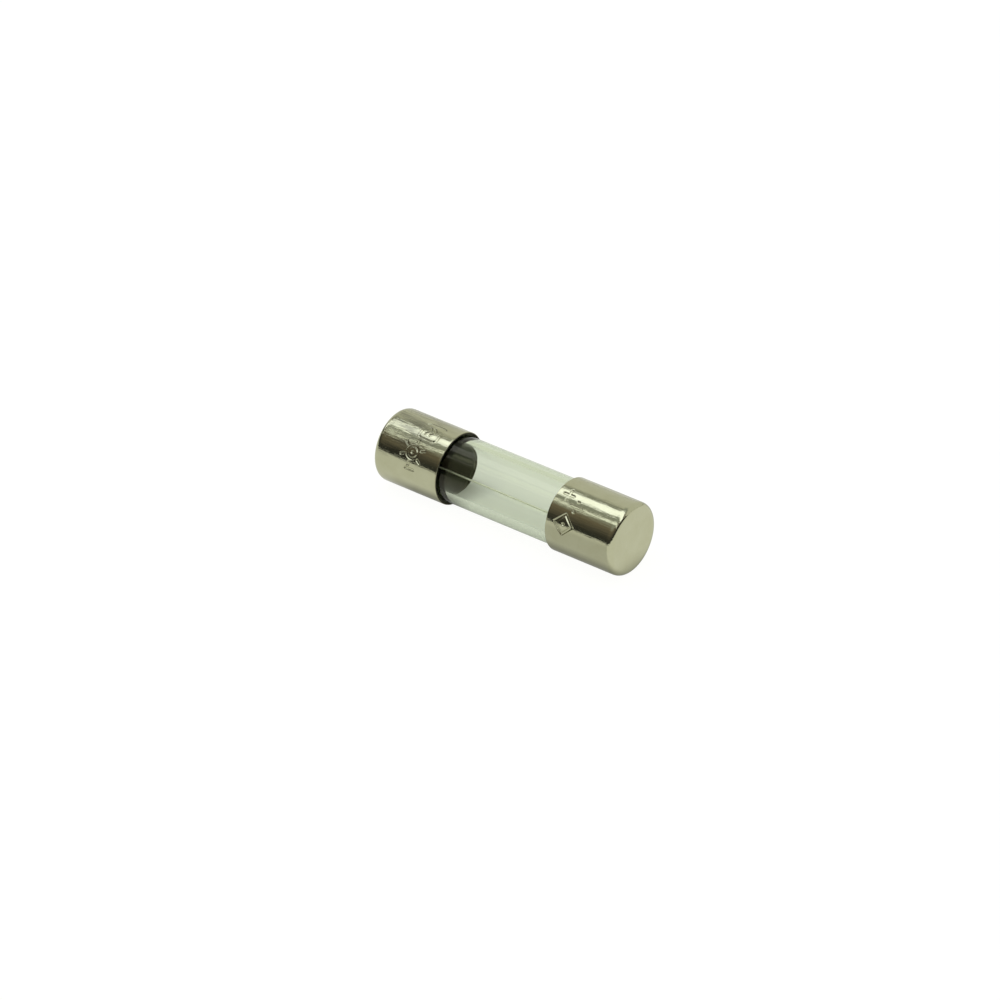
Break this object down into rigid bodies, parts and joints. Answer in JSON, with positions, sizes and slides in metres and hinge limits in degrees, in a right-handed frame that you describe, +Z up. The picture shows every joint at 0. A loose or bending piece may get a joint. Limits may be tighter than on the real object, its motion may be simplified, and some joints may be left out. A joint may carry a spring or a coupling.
{
  "type": "cartridge fuse",
  "caption": "Glass cartridge fuse: a clear tube with a fine fusible wire inside, closed by two nickel-plated metal end caps that the fuse clips grip.",
  "frame": {"origin": "middle of the fuse, on the tube's axis", "axes": "+X along the fuse towards its right end cap, +Z up, +Y away from the side that faces the viewer"},
  "size_m": [0.02, 0.0052, 0.0052],
  "materials": {
    "glass": "clear, faintly green",
    "nickel_plate": "bright nickel plate over brass",
    "wire": "silvered copper",
    "solder": "dull tin solder",
    "cement": "matte dark cement"
  },
  "bodies": {
    "root": {"glass_tube": "glass", "left_end_cap": "nickel_plate", "right_end_cap": "nickel_plate", "fuse_wire": "wire", "left_solder": "solder", "right_solder": "solder", "left_cement": "cement", "right_cement": "cement"}
  },
  "joints": []
}
